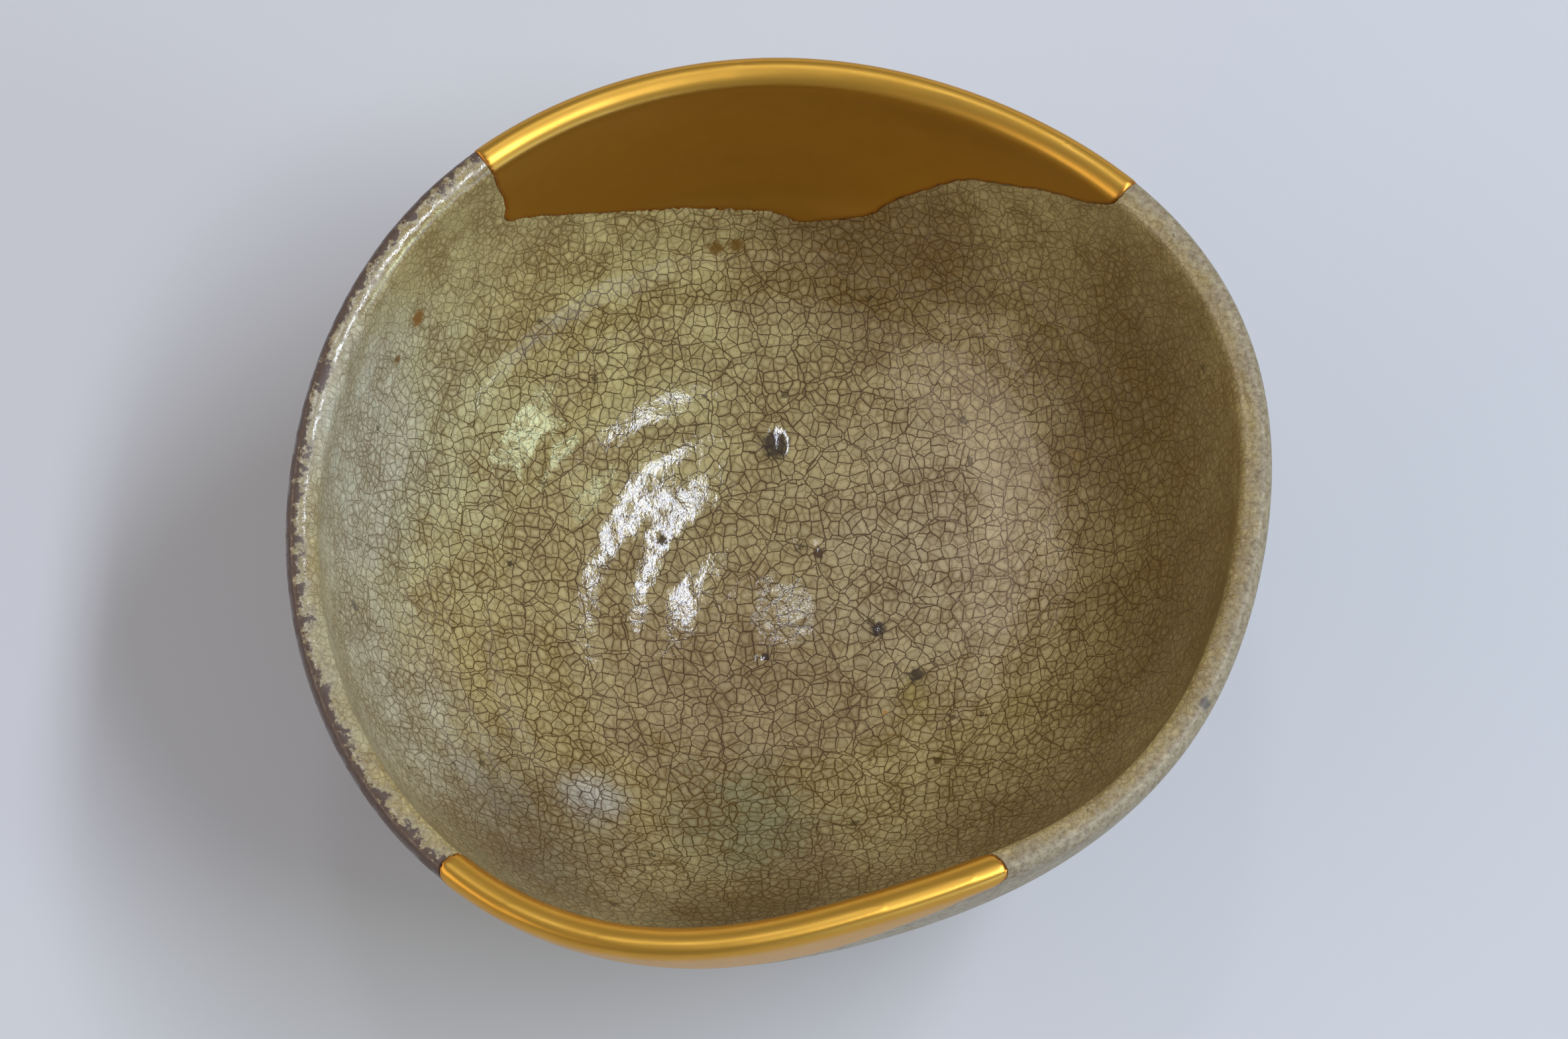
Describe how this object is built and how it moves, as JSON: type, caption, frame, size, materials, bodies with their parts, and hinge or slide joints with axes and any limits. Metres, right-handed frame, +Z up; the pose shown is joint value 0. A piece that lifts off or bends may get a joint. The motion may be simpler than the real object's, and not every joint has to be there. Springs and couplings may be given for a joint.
{
  "type": "kintsugi tea bowl",
  "caption": "Hand-shaped, slightly out-of-round tea bowl on a foot ring, crackle glazed, with gilded fills where its rim was broken.",
  "frame": {"origin": "on the ground under the bowl, at the centre of its box seen from above", "axes": "+Z up out of the bowl's mouth, +Y towards the larger gold fill"},
  "size_m": [0.1214, 0.1178, 0.0659],
  "materials": {
    "crackle_glaze": "glossy grey-olive celadon-like glaze with stained crackle",
    "gilded_lacquer": "burnished gold powder on lacquer"
  },
  "bodies": {
    "root": {"bowl_body": "crackle_glaze", "back_gold_fill": "gilded_lacquer", "front_gold_fill": "gilded_lacquer"}
  },
  "joints": []
}
